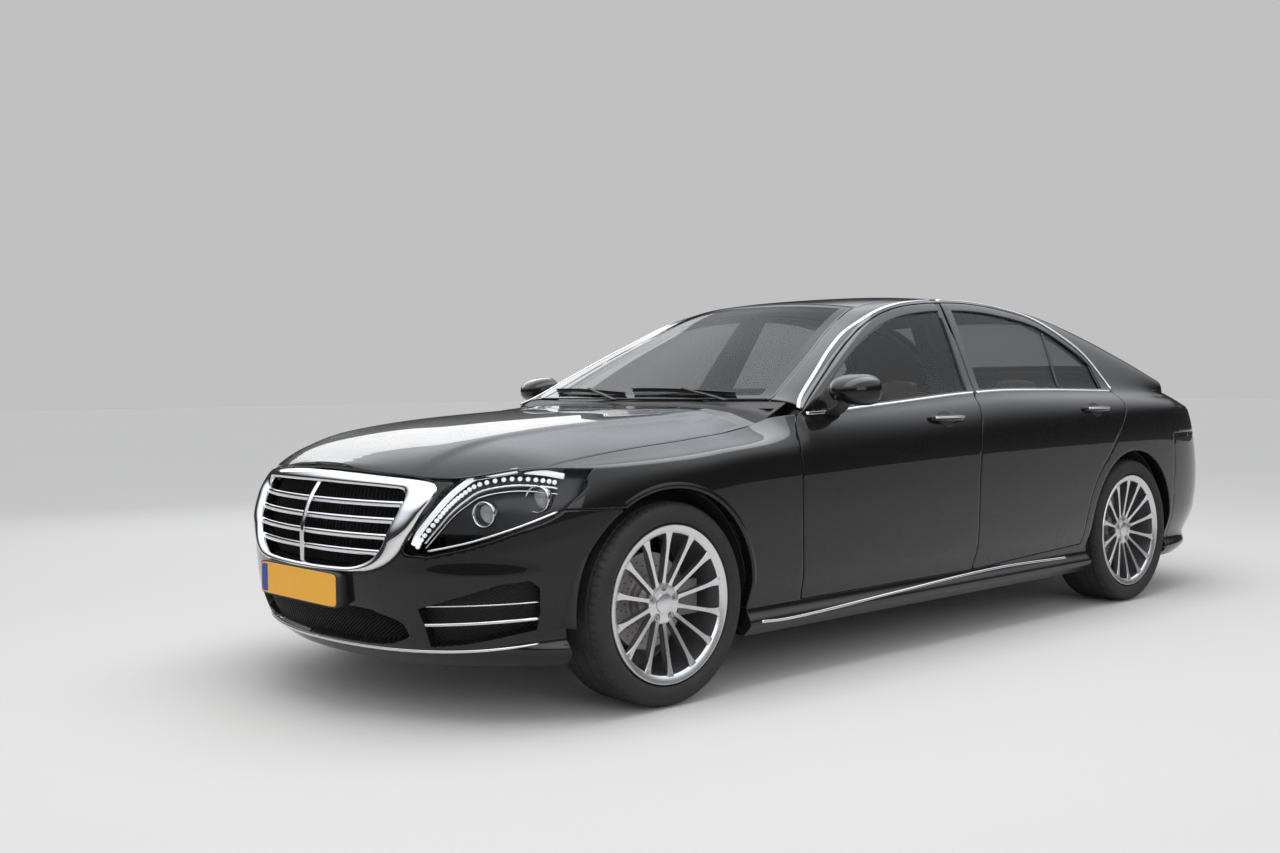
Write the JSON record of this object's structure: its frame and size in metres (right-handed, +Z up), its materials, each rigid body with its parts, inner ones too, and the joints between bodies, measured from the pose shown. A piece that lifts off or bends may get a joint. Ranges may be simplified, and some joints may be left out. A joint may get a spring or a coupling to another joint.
{
  "type": "sedan car",
  "caption": "Four-door saloon with a long wheelbase, hinged doors, bonnet and boot lid, steered front wheels, hollow cabin and louvred grille.",
  "frame": {"origin": "on the ground at the middle of the car's length and width", "axes": "+X forward, +Y to the car's left, +Z up"},
  "size_m": [5.246, 2.15, 1.5029],
  "materials": {
    "black_paint": "gloss black",
    "black_plastic": "matt black",
    "chrome": "polished",
    "tinted_glass": "tinted",
    "lamp_cover": "clear",
    "red_lamp": "gloss red",
    "alloy": "machined",
    "rubber": "matt",
    "leather": "satin",
    "steel": "satin"
  },
  "bodies": {
    "body": {"body_side_left": "black_paint", "body_side_right": "black_paint", "dashboard": "leather", "engine": "steel", "exhaust": "steel", "fender_left": "black_paint", "fender_right": "black_paint", "front_bumper": "black_paint", "front_structure": "steel", "grille": "chrome", "headlamp_left": "lamp_cover", "headlamp_right": "lamp_cover", "rear_axle": "steel", "rear_bumper": "black_paint", "rear_seat": "leather", "rear_window": "tinted_glass", "roof": "black_paint", "seat_front_left": "leather", "seat_front_right": "leather", "tail_lamp_left": "red_lamp", "tail_lamp_right": "red_lamp", "underbody": "black_plastic", "windscreen": "tinted_glass"},
    "front_door_left": {"front_door_left": "black_paint", "front_glass_left": "tinted_glass"},
    "rear_door_left": {"rear_door_left": "black_paint", "rear_glass_left": "tinted_glass"},
    "knuckle_left": {"knuckle_left": "steel"},
    "wheel_front_left": {"rim_front_left": "alloy", "tyre_front_left": "rubber"},
    "wheel_rear_left": {"rim_rear_left": "alloy", "tyre_rear_left": "rubber"},
    "front_door_right": {"front_door_right": "black_paint", "front_glass_right": "tinted_glass"},
    "rear_door_right": {"rear_door_right": "black_paint", "rear_glass_right": "tinted_glass"},
    "knuckle_right": {"knuckle_right": "steel"},
    "wheel_front_right": {"rim_front_right": "alloy", "tyre_front_right": "rubber"},
    "wheel_rear_right": {"rim_rear_right": "alloy", "tyre_rear_right": "rubber"},
    "bonnet": {"bonnet": "black_paint"},
    "boot_lid": {"boot_lid": "black_paint"},
    "steering_wheel": {"steering_wheel": "leather"}
  },
  "joints": [
    {"name": "front_door_left_hinge", "type": "hinge", "parent": "body", "child": "front_door_left", "pos_m": [1.00479, 0.935, 0.68], "axis": [0, 0, -1], "range_deg": [0, 65]},
    {"name": "rear_door_left_hinge", "type": "hinge", "parent": "body", "child": "rear_door_left", "pos_m": [-0.15153, 0.935, 0.68], "axis": [0, 0, -1], "range_deg": [0, 62]},
    {"name": "front_door_right_hinge", "type": "hinge", "parent": "body", "child": "front_door_right", "pos_m": [1.00479, -0.935, 0.68], "axis": [0, 0, 1], "range_deg": [0, 65]},
    {"name": "rear_door_right_hinge", "type": "hinge", "parent": "body", "child": "rear_door_right", "pos_m": [-0.15153, -0.935, 0.68], "axis": [0, 0, 1], "range_deg": [0, 62]},
    {"name": "bonnet_hinge", "type": "hinge", "parent": "body", "child": "bonnet", "pos_m": [1.10691, 0, 0.97524], "axis": [0, -1, 0], "range_deg": [0, 48]},
    {"name": "boot_hinge", "type": "hinge", "parent": "body", "child": "boot_lid", "pos_m": [-1.99253, 0, 1.14681], "axis": [0, 1, 0], "range_deg": [0, 75]},
    {"name": "steer_left", "type": "hinge", "parent": "body", "child": "knuckle_left", "pos_m": [1.718, 0.69, 0.352], "axis": [0, 0, 1], "range_deg": [-35, 35]},
    {"name": "steer_right", "type": "hinge", "parent": "body", "child": "knuckle_right", "pos_m": [1.718, -0.69, 0.352], "axis": [0, 0, 1], "range_deg": [-35, 35]},
    {"name": "wheel_front_left_spin", "type": "hinge", "parent": "knuckle_left", "child": "wheel_front_left", "pos_m": [1.718, 0.812, 0.352], "axis": [0, 1, 0], "continuous": true},
    {"name": "wheel_rear_left_spin", "type": "hinge", "parent": "body", "child": "wheel_rear_left", "pos_m": [-1.447, 0.812, 0.352], "axis": [0, 1, 0], "continuous": true},
    {"name": "wheel_front_right_spin", "type": "hinge", "parent": "knuckle_right", "child": "wheel_front_right", "pos_m": [1.718, -0.812, 0.352], "axis": [0, 1, 0], "continuous": true},
    {"name": "wheel_rear_right_spin", "type": "hinge", "parent": "body", "child": "wheel_rear_right", "pos_m": [-1.447, -0.812, 0.352], "axis": [0, 1, 0], "continuous": true},
    {"name": "steering_wheel_turn", "type": "hinge", "parent": "body", "child": "steering_wheel", "pos_m": [0.53772, 0.3798, 0.82022], "axis": [-0.9272, 0, 0.3746], "range_deg": [-420, 420]}
  ],
  "couplings": [
    {"joint": "steer_right", "follows": "steer_left", "ratio": 1},
    {"joint": "steering_wheel_turn", "follows": "steer_left", "ratio": 12}
  ]
}
